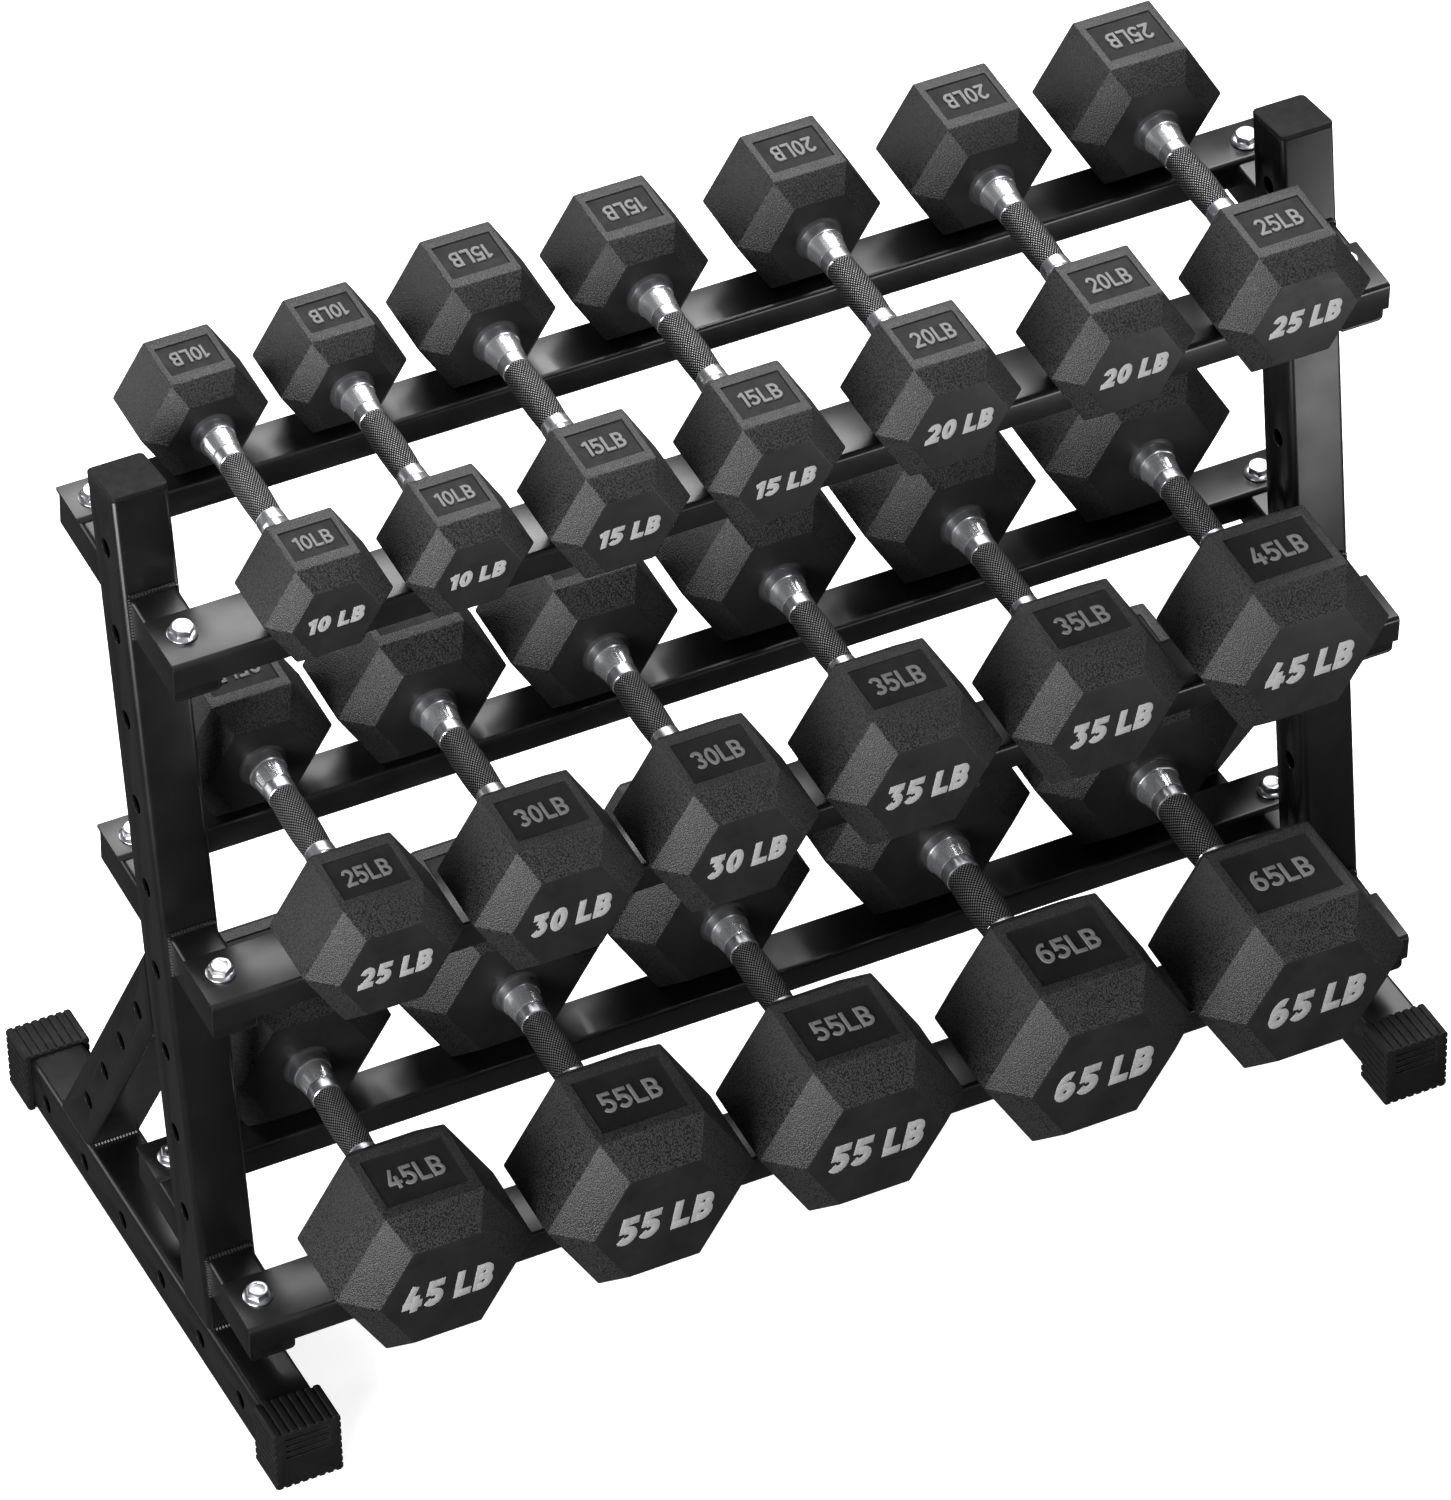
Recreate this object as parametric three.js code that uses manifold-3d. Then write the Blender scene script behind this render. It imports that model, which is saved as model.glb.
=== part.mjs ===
// Three-tier dumbbell rack, loaded with nine pairs of rubber hex dumbbells.
//
// Millimetres, +Z up. The rack is as wide as X, its open front faces -Y, and the origin is on the
// floor under the middle of the whole object. Side views below are drawn in the (Y, Z) plane.

import * as THREE from 'three';
import { mergeVertices } from 'three/addons/utils/BufferGeometryUtils.js';
import Module from 'manifold-3d';

const wasm = await Module();
wasm.setup();

const { degToRad } = THREE.MathUtils;

// ---- Driving dimensions -------------------------------------------------------------------------

const fit = 0.3;                  // gap left wherever two pieces touch
const bayWidth = 951;             // between the centre lines of the two side frames

const frameTube = { width: 45, depth: 49, wall: 2.5 };   // feet and uprights
const braceTube = { width: 45, depth: 47, wall: 2.5 };
const armTube = { width: 37, depth: 35, wall: 2.5 };

const frameHole = { diameter: 15, pitch: 75 };

const foot = { front: -156, rear: 362, underside: 3.5, firstHole: -79.5, holes: 6 };
const footTop = foot.underside + frameTube.depth;
const footCap = { length: 38, endWall: 4, proud: 5.2, height: 56, grooveDepth: 1.5, grooveWidth: 2 };

const upright = { lean: degToRad(6), length: 751, firstHole: 96, holes: 9 };
const topCap = { plate: 4, edge: 1, plugDepth: 18, plugWall: 3 };

const brace = { angle: degToRad(57), footAt: 237, firstHole: 66, holes: 4 };

const shelf = {
  slope: degToRad(4.5),           // the front edge is the low one
  lowest: 74,                     // up the upright, from the foot to the lowest shelf
  pitch: 4 * frameHole.pitch,
  front: -112,                    // front and rear edges, from the upright's centre line
  rear: 101,
};
const rail = { length: 992, frontWidth: 54, rearWidth: 41, flange: 24, thickness: 3, bend: 4 };

const bolt = { acrossFlats: 16, headHeight: 6, flangeRadius: 11.5, flangeHeight: 2.4, shankRadius: 4.9 };
const boltHoleRadius = 5.8;
const nut = { acrossFlats: 17, height: 8 };
const boltInset = { front: 31.5, rear: 22 };    // from the shelf's front and rear edges

const handle = {
  between: 138,                   // the two heads' inner faces
  collar: 13.8,                   // radii, from the heads inwards
  neck: 12,
  gripEnd: 10.8,
  gripMiddle: 13.4,
  collarLength: 27,
  buried: 5,                      // how far each end goes into its head
};
const headChamfer = 0.16;         // of the width across flats, at both ends of a head
const labelPanel = { depth: 1.2, ofFlat: 0.83, shorter: 20 };

// Width across the flats and length of one head, by the weight in pounds.
const headSizes = {
  10: { acrossFlats: 88, length: 80 },
  15: { acrossFlats: 97, length: 89 },
  20: { acrossFlats: 104, length: 91 },
  25: { acrossFlats: 112, length: 97 },
  30: { acrossFlats: 121, length: 103 },
  35: { acrossFlats: 128, length: 106 },
  45: { acrossFlats: 140, length: 116 },
  55: { acrossFlats: 150, length: 125 },
  65: { acrossFlats: 156, length: 133 },
};

// What stands on each shelf from left to right: name, pounds, x, and how far the middle of the
// handle is in front of (-) the upright's centre line.
const shelves = [
  {
    name: 'bottom',
    dumbbells: [
      ['45lb_b', 45, -370, -8], ['55lb_a', 55, -195, -8], ['55lb_b', 55, -18, -8],
      ['65lb_a', 65, 171, -8], ['65lb_b', 65, 355, -8],
    ],
  },
  {
    name: 'middle',
    dumbbells: [
      ['25lb_b', 25, -381, -16], ['30lb_a', 30, -243, -18], ['30lb_b', 30, -100, -18],
      ['35lb_a', 35, 52, -8], ['35lb_b', 35, 206, -8], ['45lb_a', 45, 368, -8],
    ],
  },
  {
    name: 'top',
    dumbbells: [
      ['10lb_a', 10, -388, -8], ['10lb_b', 10, -277, -8], ['15lb_a', 15, -161, -8],
      ['15lb_b', 15, -36, -8], ['20lb_a', 20, 103, -8], ['20lb_b', 20, 247, -8],
      ['25lb_a', 25, 386, -8],
    ],
  },
];

const sides = [['left', -bayWidth / 2], ['right', bayWidth / 2]];

// ---- Materials ----------------------------------------------------------------------------------

const powderCoat = new THREE.MeshStandardMaterial({ color: 0x2c2c2e, roughness: 0.5, metalness: 0.2 });
const railCoat = new THREE.MeshStandardMaterial({ color: 0x3a3a3c, roughness: 0.45, metalness: 0.2 });
const mouldedRubber = new THREE.MeshStandardMaterial({ color: 0x171718, roughness: 0.75, metalness: 0 });
const headRubber = new THREE.MeshStandardMaterial({ color: 0x242426, roughness: 0.7, metalness: 0 });
const zincPlate = new THREE.MeshStandardMaterial({ color: 0xd9dadc, roughness: 0.2, metalness: 1 });

// ---- Solids and booleans ------------------------------------------------------------------------

// A closed three.js geometry as a manifold solid. Slivers that collapse on an axis are dropped.
function solid(geometry) {
  const bare = geometry.clone();
  bare.deleteAttribute('normal');
  bare.deleteAttribute('uv');
  const merged = mergeVertices(bare, 1e-4);
  const corners = merged.index.array;
  const triangles = [];
  for (let i = 0; i < corners.length; i += 3) {
    const [a, b, c] = corners.slice(i, i + 3);
    if (a !== b && b !== c && c !== a) triangles.push(a, b, c);
  }
  return new wasm.Manifold(new wasm.Mesh({
    numProp: 3,
    vertProperties: Float32Array.from(merged.attributes.position.array),
    triVerts: Uint32Array.from(triangles),
  }));
}

function geometryOf(body) {
  const mesh = body.getMesh();
  const geometry = new THREE.BufferGeometry();
  geometry.setAttribute('position', new THREE.BufferAttribute(mesh.vertProperties, 3));
  geometry.setIndex(new THREE.BufferAttribute(mesh.triVerts, 1));
  const faceted = geometry.toNonIndexed();
  faceted.computeVertexNormals();
  return faceted;
}

function named(name, geometry, material) {
  const mesh = new THREE.Mesh(geometry, material);
  mesh.name = name;
  return mesh;
}

const box = (x, y, z) => new THREE.BoxGeometry(x, y, z);

// A prism of a side-view outline, as wide as `width` and centred on X = 0.
function sidePrism(outline, width) {
  const geometry = new THREE.ExtrudeGeometry(new THREE.Shape(outline), {
    depth: width,
    bevelEnabled: false,
    steps: 1,
  });
  const sideways = new THREE.Matrix4().makeBasis(
    new THREE.Vector3(0, 1, 0),
    new THREE.Vector3(0, 0, 1),
    new THREE.Vector3(1, 0, 0),
  );
  return geometry.translate(0, 0, -width / 2).applyMatrix4(sideways);
}

// Round rod along X or Z, with its flats placed the same way on every hole and shank.
function rodAlongX(radius, length, sections, y, z) {
  return new THREE.CylinderGeometry(radius, radius, length, sections).rotateZ(Math.PI / 2).translate(0, y, z);
}

function rodAlongZ(radius, length, sections) {
  return new THREE.CylinderGeometry(radius, radius, length, sections).rotateX(Math.PI / 2);
}

// ---- Tubes, drawn from the side -----------------------------------------------------------------

const at = (y, z) => new THREE.Vector2(y, z);
const along = (origin, direction, distance) => origin.clone().addScaledVector(direction, distance);

// Where the line through p along u meets the line through q along w.
function meet(p, u, q, w) {
  const reach = ((q.x - p.x) * w.y - (q.y - p.y) * w.x) / (u.x * w.y - u.y * w.x);
  return along(p, u, reach);
}

// Outline of a straight tube: its two long edges, cut off by a start line and an end line.
function tubeOutline(centre, direction, depth, start, end) {
  const across = at(-direction.y, direction.x);
  const lower = along(centre, across, -depth / 2);
  const upper = along(centre, across, depth / 2);
  return [
    meet(lower, direction, start.point, start.direction),
    meet(lower, direction, end.point, end.direction),
    meet(upper, direction, end.point, end.direction),
    meet(upper, direction, start.point, start.direction),
  ];
}

// A rectangular tube with open ends and cross holes through both side walls.
function rectangularTube({ centre, direction, section, start, end, holes = [] }) {
  const outside = tubeOutline(centre, direction, section.depth, start, end);
  const beyond = 4;
  const inside = tubeOutline(
    centre,
    direction,
    section.depth - 2 * section.wall,
    { ...start, point: along(start.point, direction, -beyond) },
    { ...end, point: along(end.point, direction, beyond) },
  );
  let body = solid(sidePrism(outside, section.width))
    .subtract(solid(sidePrism(inside, section.width - 2 * section.wall)));
  for (const hole of holes) {
    const cutter = rodAlongX(frameHole.diameter / 2, section.width + 2, 8, hole.x, hole.y);
    body = body.subtract(solid(cutter));
  }
  return body;
}

// Evenly pitched hole centres on a line.
function holeRow(origin, direction, first, count) {
  return Array.from({ length: count }, (_, i) => along(origin, direction, first + i * frameHole.pitch));
}

const level = at(1, 0);
const plumb = at(0, 1);
const uprightFoot = at(0, footTop);
const uprightUp = at(Math.sin(upright.lean), Math.cos(upright.lean));
const uprightBack = at(Math.cos(upright.lean), -Math.sin(upright.lean));

function footTube() {
  const capEnd = footCap.endWall + fit;
  const centre = at(0, footTop - frameTube.depth / 2);
  return rectangularTube({
    centre,
    direction: level,
    section: frameTube,
    start: { point: at(foot.front + capEnd, 0), direction: plumb },
    end: { point: at(foot.rear - capEnd, 0), direction: plumb },
    holes: holeRow(centre, level, foot.firstHole, foot.holes),
  });
}

function uprightTube() {
  return rectangularTube({
    centre: uprightFoot,
    direction: uprightUp,
    section: frameTube,
    start: { point: at(0, footTop + fit), direction: level },
    end: { point: along(uprightFoot, uprightUp, upright.length - topCap.plate - fit), direction: uprightBack },
    holes: holeRow(uprightFoot, uprightUp, upright.firstHole, upright.holes),
  });
}

function braceTubeBody() {
  const landing = at(brace.footAt, footTop);
  const up = at(-Math.cos(brace.angle), Math.sin(brace.angle));
  return rectangularTube({
    centre: landing,
    direction: up,
    section: braceTube,
    start: { point: at(0, footTop + fit), direction: level },
    end: { point: along(uprightFoot, uprightBack, frameTube.depth / 2 + fit), direction: uprightUp },
    holes: holeRow(landing, up, brace.firstHole, brace.holes),
  });
}

// ---- Plastic caps -------------------------------------------------------------------------------

// Points from one corner to the next, with evenly spaced grooves sunk to the left of the way.
function groovedEdge(from, to, grooves) {
  const direction = to.clone().sub(from).normalize();
  const inward = at(-direction.y, direction.x);
  const pitch = from.distanceTo(to) / (grooves + 1);
  const points = [from];
  for (let i = 1; i <= grooves; i += 1) {
    const near = along(from, direction, i * pitch - footCap.grooveWidth / 2);
    const far = along(near, direction, footCap.grooveWidth);
    points.push(
      near,
      along(near, inward, footCap.grooveDepth),
      along(far, inward, footCap.grooveDepth),
      far,
    );
  }
  return points;
}

// Sleeve over the end of a foot tube, ribbed along its length. Its closed end faces -Y at y = 0.
function footCapBody() {
  const half = frameTube.width / 2 + footCap.proud;
  const corners = [at(-half, 0), at(half, 0), at(half, footCap.height), at(-half, footCap.height)];
  const outline = [
    corners[0],
    ...groovedEdge(corners[1], corners[2], 7),
    ...groovedEdge(corners[2], corners[3], 7),
    ...groovedEdge(corners[3], corners[0], 7),
  ];
  const shell = new THREE.ExtrudeGeometry(new THREE.Shape(outline), { depth: footCap.length, bevelEnabled: false })
    .rotateX(Math.PI / 2)
    .translate(0, footCap.length, 0);
  const pocketDepth = footCap.length;
  const pocket = box(frameTube.width + 2 * fit, pocketDepth, frameTube.depth + 2 * fit)
    .translate(0, footCap.endWall + pocketDepth / 2, footTop - frameTube.depth / 2);
  let body = solid(shell).subtract(solid(pocket));
  for (let i = 0; i < 4; i += 1) {
    const groove = box(0.62 * 2 * half, 2 * footCap.grooveDepth, footCap.grooveWidth)
      .translate(0, 0, footCap.height - 8 - i * 6);
    body = body.subtract(solid(groove));
  }
  return body;
}

// Chamfered plate on the end of an upright, with a hollow plug that holds it inside the tube.
function topCapBody() {
  const { plate, edge, plugDepth, plugWall } = topCap;
  const x = frameTube.width / 2 - edge;
  const y = frameTube.depth / 2 - edge;
  const outline = new THREE.Shape([at(-x, -y), at(x, -y), at(x, y), at(-x, y)]);
  const lid = new THREE.ExtrudeGeometry(outline, {
    depth: plate - 2 * edge,
    bevelThickness: edge,
    bevelSize: edge,
    bevelSegments: 1,
  }).translate(0, 0, edge);
  const bore = { x: frameTube.width - 2 * frameTube.wall - 2 * fit, y: frameTube.depth - 2 * frameTube.wall - 2 * fit };
  const plug = box(bore.x, bore.y, plugDepth + 1).translate(0, 0, (1 - plugDepth) / 2);
  const hollow = box(bore.x - 2 * plugWall, bore.y - 2 * plugWall, plugDepth).translate(0, 0, -plugDepth / 2 - 1);
  return solid(lid).add(solid(plug)).subtract(solid(hollow));
}

// ---- Shelves: drawn with y along the slope from the upright's centre line, z square to it -------

// Line of the upright's front (-1) or rear (+1) face, as the sloping shelf sees it.
function uprightFace(side) {
  const tilt = upright.lean + shelf.slope;
  const up = at(Math.sin(tilt), Math.cos(tilt));
  const back = at(Math.cos(tilt), -Math.sin(tilt));
  return { point: along(at(0, 0), back, side * (frameTube.depth / 2 + fit)), direction: up };
}

const boltAt = { front: shelf.front + boltInset.front, rear: shelf.rear - boltInset.rear };
const armTop = -rail.thickness - fit;

function armBody(end) {
  const front = end === 'front';
  const tip = front ? shelf.front + rail.bend + fit : shelf.rear;
  const tipLine = { point: at(tip, 0), direction: plumb };
  const tube = rectangularTube({
    centre: at(0, armTop - armTube.depth / 2),
    direction: level,
    section: armTube,
    start: front ? tipLine : uprightFace(1),
    end: front ? uprightFace(-1) : tipLine,
  });
  const hole = rodAlongZ(boltHoleRadius, 4 * armTube.wall, 8).translate(0, boltAt[end], armTop);
  return tube.subtract(solid(hole));
}

// Angle section with a rounded bend: wide flange on top, narrow flange hanging from its front edge.
function angleOutline(frontEdge, width) {
  const { thickness, flange, bend } = rail;
  const arc = (radius, steps) => Array.from({ length: steps + 1 }, (_, i) => {
    const turn = Math.PI / 2 * (i / steps);
    return at(frontEdge + bend - radius * Math.sin(turn), -bend + radius * Math.cos(turn));
  });
  return [
    at(frontEdge + width, 0),
    ...arc(bend, 3),
    at(frontEdge, -flange),
    at(frontEdge + thickness, -flange),
    ...arc(bend - thickness, 1).reverse(),
    at(frontEdge + width, -thickness),
  ];
}

// The rear rail's hanging flange is coped at both ends, because there the arms pass under it.
function railBody(end) {
  const front = end === 'front';
  const width = front ? rail.frontWidth : rail.rearWidth;
  const edge = front ? shelf.front : shelf.rear - width;
  let body = solid(sidePrism(angleOutline(edge, width), rail.length));
  const copeDepth = rail.flange;
  const copeWidth = rail.length / 2 - bayWidth / 2 + armTube.width / 2 + fit;
  for (const [, x] of sides) {
    const hole = rodAlongZ(boltHoleRadius, 4 * rail.thickness, 8).translate(x, boltAt[end], 0);
    body = body.subtract(solid(hole));
    if (!front) {
      const outward = Math.sign(x);
      const cope = box(copeWidth + 1, 2 * rail.bend, copeDepth)
        .translate(
          outward * (rail.length / 2 - copeWidth / 2 + 0.5),
          edge,
          armTop - copeDepth / 2 + fit,
        );
      body = body.subtract(solid(cope));
    }
  }
  return body;
}

const hexRod = (acrossFlats, length) => rodAlongZ(acrossFlats / Math.sqrt(3), length, 6);

// Hex flange bolt through rail and arm, with the weld nut that it screws into under the arm's wall.
function boltBody() {
  const { headHeight, flangeHeight, flangeRadius, shankRadius } = bolt;
  const nutTop = armTop - armTube.wall - fit;
  const shankBottom = nutTop - nut.height - 2;
  const shankTop = fit + flangeHeight;
  const head = hexRod(bolt.acrossFlats, headHeight + 1).translate(0, 0, shankTop + (headHeight - 1) / 2);
  const flange = rodAlongZ(flangeRadius, flangeHeight, 12).translate(0, 0, fit + flangeHeight / 2);
  const shank = rodAlongZ(shankRadius, shankTop - shankBottom, 8).translate(0, 0, (shankTop + shankBottom) / 2);
  const weldNut = hexRod(nut.acrossFlats, nut.height).translate(0, 0, nutTop - nut.height / 2);
  return solid(head).add(solid(flange)).add(solid(shank)).add(solid(weldNut));
}

// ---- Dumbbells ----------------------------------------------------------------------------------

// Hexagonal head lying along Y with its flats level, chamfered towards both ends.
function headBody({ acrossFlats, length }, middle) {
  const chamfer = headChamfer * acrossFlats;
  const flatToCorner = 1 / Math.cos(Math.PI / 6);
  const rim = (acrossFlats / 2) * flatToCorner;
  const face = (acrossFlats / 2 - chamfer) * flatToCorner;
  const profile = [
    at(0, -length / 2),
    at(face, -length / 2),
    at(rim, -length / 2 + chamfer),
    at(rim, length / 2 - chamfer),
    at(face, length / 2),
    at(0, length / 2),
  ];
  const hexagon = new THREE.LatheGeometry(profile, 6, Math.PI / 6).translate(0, middle, 0);
  const rimLength = length - 2 * chamfer;
  const panel = box(labelPanel.ofFlat * rim, rimLength - labelPanel.shorter, 2 * labelPanel.depth)
    .translate(0, middle, acrossFlats / 2);
  return solid(hexagon).subtract(solid(panel));
}

// Turned handle along Y: a conical collar at each head, a step, then a grip that swells to its middle.
function handleBody() {
  const end = handle.between / 2 + handle.buried;
  const step = handle.between / 2 - handle.collarLength;
  const oneEnd = [
    at(0, end),
    at(handle.collar, end),
    at(handle.neck, step),
    at(handle.gripEnd, step),
  ];
  const profile = [
    ...oneEnd.map((p) => at(p.x, -p.y)),
    at(handle.gripMiddle, 0),
    ...oneEnd.reverse(),
  ];
  return solid(new THREE.LatheGeometry(profile, 8));
}

function dumbbellBody(size) {
  const middle = (handle.between + size.length) / 2;
  return headBody(size, -middle).add(headBody(size, middle)).add(handleBody());
}

// ---- Assembly -----------------------------------------------------------------------------------

function addSideFrame(rack, side, x) {
  const tubes = { foot_tube: footTube(), upright: uprightTube(), rear_brace: braceTubeBody() };
  for (const [piece, body] of Object.entries(tubes)) {
    const mesh = named(`${side}_${piece}`, geometryOf(body), powderCoat);
    mesh.position.x = x;
    rack.add(mesh);
  }
  const cap = geometryOf(footCapBody());
  const frontCap = named(`${side}_front_foot_cap`, cap, mouldedRubber);
  frontCap.position.set(x, foot.front, 0);
  const rearCap = named(`${side}_rear_foot_cap`, cap, mouldedRubber);
  rearCap.position.set(x, foot.rear, 0);
  rearCap.rotation.z = Math.PI;
  const lid = named(`${side}_top_cap`, geometryOf(topCapBody()), mouldedRubber);
  const lidFoot = along(uprightFoot, uprightUp, upright.length - topCap.plate);
  lid.position.set(x, lidFoot.x, lidFoot.y);
  lid.rotation.x = -upright.lean;
  rack.add(frontCap, rearCap, lid);
}

function shelfGroup({ name, dumbbells }, index) {
  const group = new THREE.Group();
  const middle = along(uprightFoot, uprightUp, shelf.lowest + index * shelf.pitch);
  group.position.set(0, middle.x, middle.y);
  group.rotation.x = shelf.slope;
  for (const end of ['front', 'rear']) {
    group.add(named(`${name}_${end}_rail`, geometryOf(railBody(end)), railCoat));
    for (const [side, x] of sides) {
      const arm = named(`${name}_${side}_${end}_arm`, geometryOf(armBody(end)), powderCoat);
      arm.position.x = x;
      const fastener = named(`${name}_${side}_${end}_bolt`, geometryOf(boltBody()), zincPlate);
      fastener.position.set(x, boltAt[end], 0);
      group.add(arm, fastener);
    }
  }
  for (const [label, pounds, x, y] of dumbbells) {
    const size = headSizes[pounds];
    const mesh = named(`dumbbell_${label}`, geometryOf(dumbbellBody(size)), headRubber);
    mesh.position.set(x, y, size.acrossFlats / 2 + fit);
    group.add(mesh);
  }
  return group;
}

const rack = new THREE.Group();
for (const [side, x] of sides) addSideFrame(rack, side, x);
shelves.forEach((contents, index) => rack.add(shelfGroup(contents, index)));

// The origin goes under the middle of the loaded rack.
const extent = new THREE.Box3().setFromObject(rack, true);
rack.position.y = -(extent.min.y + extent.max.y) / 2;

export default rack;
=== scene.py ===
from math import cos, pi, radians, sin, sqrt

import bmesh
import bpy
from mathutils import Matrix, Vector


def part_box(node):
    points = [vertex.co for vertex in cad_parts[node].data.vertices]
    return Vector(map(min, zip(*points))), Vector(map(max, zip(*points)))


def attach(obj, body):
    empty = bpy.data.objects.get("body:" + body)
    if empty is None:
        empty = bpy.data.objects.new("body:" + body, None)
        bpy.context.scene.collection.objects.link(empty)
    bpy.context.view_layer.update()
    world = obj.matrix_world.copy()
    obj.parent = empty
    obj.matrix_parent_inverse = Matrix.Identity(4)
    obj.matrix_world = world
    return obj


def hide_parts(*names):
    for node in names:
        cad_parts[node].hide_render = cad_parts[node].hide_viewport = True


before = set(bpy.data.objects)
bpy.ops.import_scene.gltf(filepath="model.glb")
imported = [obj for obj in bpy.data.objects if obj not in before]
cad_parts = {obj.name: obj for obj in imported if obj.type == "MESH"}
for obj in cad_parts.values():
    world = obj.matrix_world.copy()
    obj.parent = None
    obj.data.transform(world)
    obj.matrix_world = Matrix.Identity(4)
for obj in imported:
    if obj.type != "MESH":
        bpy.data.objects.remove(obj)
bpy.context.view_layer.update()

MM = 0.001
FIT = 0.3  # gap between touching pieces
scene = bpy.context.scene


def corners(node):
    """Lowest and highest corner of a CAD node, in millimetres."""
    low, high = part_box(node)
    return low / MM, high / MM


def middle(node):
    low, high = corners(node)
    return (low + high) / 2


# ---- Driving dimensions, as in the CAD model ----------------------------------------------------

SIDES = {side: middle(f"{side}_upright").x for side in ("left", "right")}
FRONT_TIP = corners("left_front_foot_cap")[0].y
REAR_TIP = corners("left_rear_foot_cap")[1].y

FRAME_TUBE = {"width": 45, "depth": 49, "wall": 2.5, "corner": 4.5}
BRACE_TUBE = {"width": 45, "depth": 47, "wall": 2.5, "corner": 4.5}
ARM_TUBE = {"width": 37, "depth": 35, "wall": 2.5, "corner": 4}
HOLE_RADIUS = 7.5
HOLE_PITCH = 75
HOLES = {"foot": (-79.5, 6), "upright": (96, 9), "brace": (66, 4)}  # where the first one is, how many

FOOT_TOP = 52.5
UPRIGHT_AT = FRONT_TIP + 156
LEAN = radians(6)
UPRIGHT_LENGTH = 751
BRACE_AT = UPRIGHT_AT + 237
BRACE_TILT = radians(33)
TOP_PLATE = 4

SLOPE = radians(4.5)
LOWEST_SHELF = 74
SHELF_PITCH = 4 * HOLE_PITCH
SHELF_FRONT = -112
SHELF_REAR = 101
RAIL = {"length": 992, "front": 54, "rear": 41, "flange": 24, "thickness": 3, "bend": 4}
BOLT_AT = {"front": SHELF_FRONT + 31.5, "rear": SHELF_REAR - 22}
ARM_TOP = -RAIL["thickness"] - FIT

CAP = {"length": 38, "end_wall": 4, "half": 27.7, "height": 56}

HEAD_GAP = 138
HEADS = {  # pounds: width across the flats, length of one head, radius of the grip's middle
    10: (88, 80, 11.7),
    15: (97, 89, 12.4),
    20: (104, 91, 12.6),
    25: (112, 97, 12.7),
    30: (121, 103, 12.8),
    35: (128, 106, 12.9),
    45: (140, 116, 12.9),
    55: (150, 125, 13.3),
    65: (156, 133, 15.6),
}
HEAD_CHAMFER = 0.16  # share of the width across the flats
PANEL_WIDTH = 0.83  # share of one side of the hexagon
PANEL_MARGIN = 10
PANEL_DEPTH = 1.2


# ---- Materials ----------------------------------------------------------------------------------

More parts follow.
